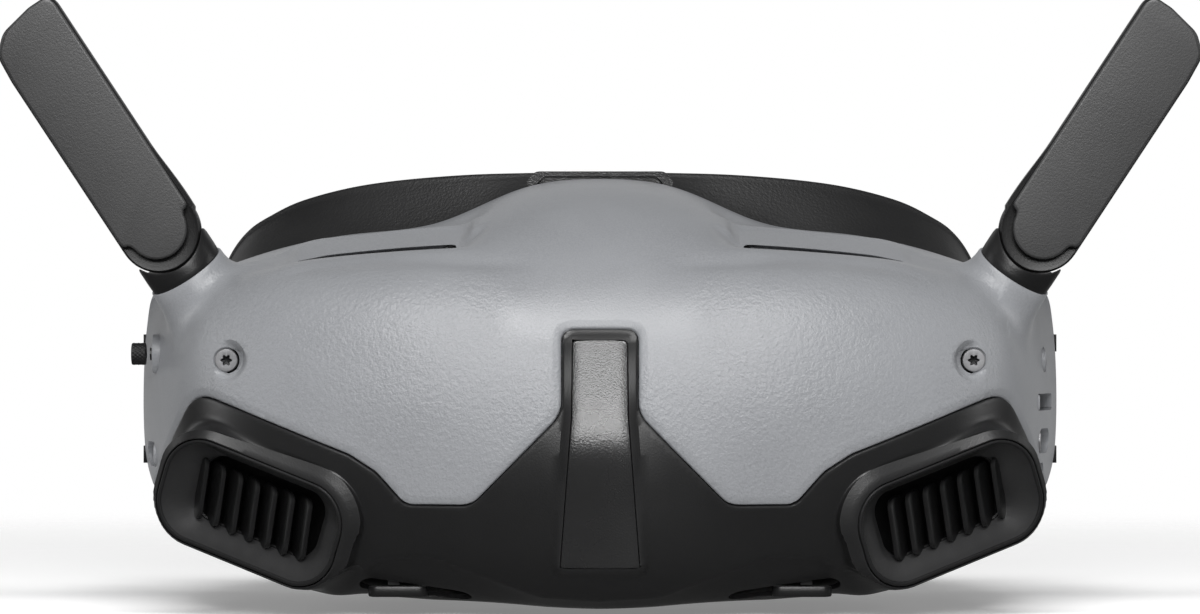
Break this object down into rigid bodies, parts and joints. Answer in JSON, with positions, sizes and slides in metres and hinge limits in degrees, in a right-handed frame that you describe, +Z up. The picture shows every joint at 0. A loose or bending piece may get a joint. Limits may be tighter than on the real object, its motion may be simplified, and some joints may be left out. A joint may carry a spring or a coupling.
{
  "type": "fpv goggles",
  "caption": "Head-worn video goggles with a smooth grey front shell over a black lower cover, slanted air intakes, folding flat antennas, sliding eyepieces and a curved foam face pad.",
  "frame": {"origin": "under the middle of the goggles' bounding box, at the height of the lowest point of the lower cover", "axes": "+X to the right when facing the front (the wearer's left), +Y from the front towards the wearer's face, +Z up"},
  "size_m": [0.2042, 0.1038, 0.1034],
  "materials": {
    "grey_shell": "fine moulded grain",
    "black_shell": "fine moulded grain",
    "black_part": "smooth, satin",
    "gloss_black": "polished",
    "pad_foam": "soft foam with a leather-like skin",
    "pad_skirt": "fine pebble grain",
    "steel": "satin",
    "lens_glass": "coated",
    "circuit_board": "solder mask",
    "heat_sink_metal": "anodised",
    "grip_rubber": "knurled"
  },
  "bodies": {
    "root": {"front_shell": "grey_shell", "lower_front_cover": "black_shell", "nose_strip": "black_shell", "intake_bezel_left": "black_shell", "intake_grille_left": "black_part", "exhaust_mesh_left": "black_part", "shell_screw_left": "steel", "intake_bezel_right": "black_shell", "intake_grille_right": "black_part", "exhaust_mesh_right": "black_part", "shell_screw_right": "steel", "rear_housing": "black_part", "face_pad": "pad_foam", "face_pad_frame": "pad_skirt", "forehead_clip": "black_part", "ipd_rod_upper": "steel", "ipd_rod_lower": "steel", "main_board": "circuit_board", "fan_housing": "black_part", "heat_sink": "heat_sink_metal", "joystick_bezel": "grey_shell", "usb_c_port": "steel", "audio_jack": "black_part", "card_slot": "black_part", "proximity_sensor": "gloss_black", "strap_pin_left": "steel", "strap_pin_right": "steel", "antenna_collar_left": "black_part", "antenna_pin_left": "steel", "antenna_collar_right": "black_part", "antenna_pin_right": "steel"},
    "antenna_left": {"antenna_paddle_left": "black_part", "antenna_cover_left": "black_shell"},
    "antenna_right": {"antenna_paddle_right": "black_part", "antenna_cover_right": "black_shell"},
    "eyepiece_left": {"eyepiece_barrel_left": "black_part", "eyepiece_lens_left": "lens_glass", "display_left": "gloss_black", "ipd_slider_left": "gloss_black"},
    "eyepiece_right": {"eyepiece_barrel_right": "black_part", "eyepiece_lens_right": "lens_glass", "display_right": "gloss_black", "ipd_slider_right": "gloss_black"},
    "fan": {"fan_impeller": "black_part"},
    "joystick_gimbal": {"joystick_gimbal": "steel"},
    "joystick_stem": {"joystick_stem": "black_part"},
    "joystick_cap": {"joystick_cap": "grip_rubber"},
    "back_button": {"back_button": "black_part"},
    "link_button": {"link_button": "black_part"},
    "strap_anchor_left": {"strap_anchor_left": "black_shell"},
    "strap_anchor_right": {"strap_anchor_right": "black_shell"}
  },
  "joints": [
    {"name": "antenna_left_fold", "type": "hinge", "parent": "root", "child": "antenna_left", "pos_m": [-0.0752, -0.01428, 0.06448], "axis": [-0.8348, 0, -0.5505], "range_deg": [0, 90]},
    {"name": "antenna_right_fold", "type": "hinge", "parent": "root", "child": "antenna_right", "pos_m": [0.0752, -0.01428, 0.06448], "axis": [-0.8348, 0, 0.5505], "range_deg": [0, 90]},
    {"name": "eyepiece_left_slide", "type": "slide", "parent": "root", "child": "eyepiece_left", "axis": [1, 0, 0], "range_m": [-0.0016, 0.0064]},
    {"name": "eyepiece_right_slide", "type": "slide", "parent": "root", "child": "eyepiece_right", "axis": [-1, 0, 0], "range_m": [-0.0016, 0.0064]},
    {"name": "fan_spin", "type": "hinge", "parent": "root", "child": "fan", "pos_m": [0, -0.04188, 0.02848], "axis": [0, 1, 0], "continuous": true},
    {"name": "stick_tilt_up_down", "type": "hinge", "parent": "root", "child": "joystick_gimbal", "pos_m": [-0.073, -0.00428, 0.04348], "axis": [0, 1, 0], "range_deg": [-5, 5], "stiffness_Nm_per_rad": 0.01},
    {"name": "stick_tilt_fore_aft", "type": "hinge", "parent": "joystick_gimbal", "child": "joystick_stem", "pos_m": [-0.073, -0.00428, 0.04348], "axis": [0, 0, 1], "range_deg": [-5, 5], "stiffness_Nm_per_rad": 0.01},
    {"name": "stick_press", "type": "slide", "parent": "joystick_stem", "child": "joystick_cap", "axis": [1, 0, 0], "range_m": [0, 0.0004], "stiffness_N_per_m": 2500},
    {"name": "back_button_press", "type": "slide", "parent": "root", "child": "back_button", "axis": [1, 0, 0], "range_m": [0, 0.0006], "stiffness_N_per_m": 2500},
    {"name": "link_button_press", "type": "slide", "parent": "root", "child": "link_button", "axis": [-1, 0, 0], "range_m": [0, 0.0006], "stiffness_N_per_m": 2500},
    {"name": "strap_anchor_left_swing", "type": "hinge", "parent": "root", "child": "strap_anchor_left", "pos_m": [-0.0778, 0.01372, 0.03568], "axis": [0, 0, 1], "range_deg": [0, 25]},
    {"name": "strap_anchor_right_swing", "type": "hinge", "parent": "root", "child": "strap_anchor_right", "pos_m": [0.0778, 0.01372, 0.03568], "axis": [0, 0, -1], "range_deg": [0, 25]}
  ]
}
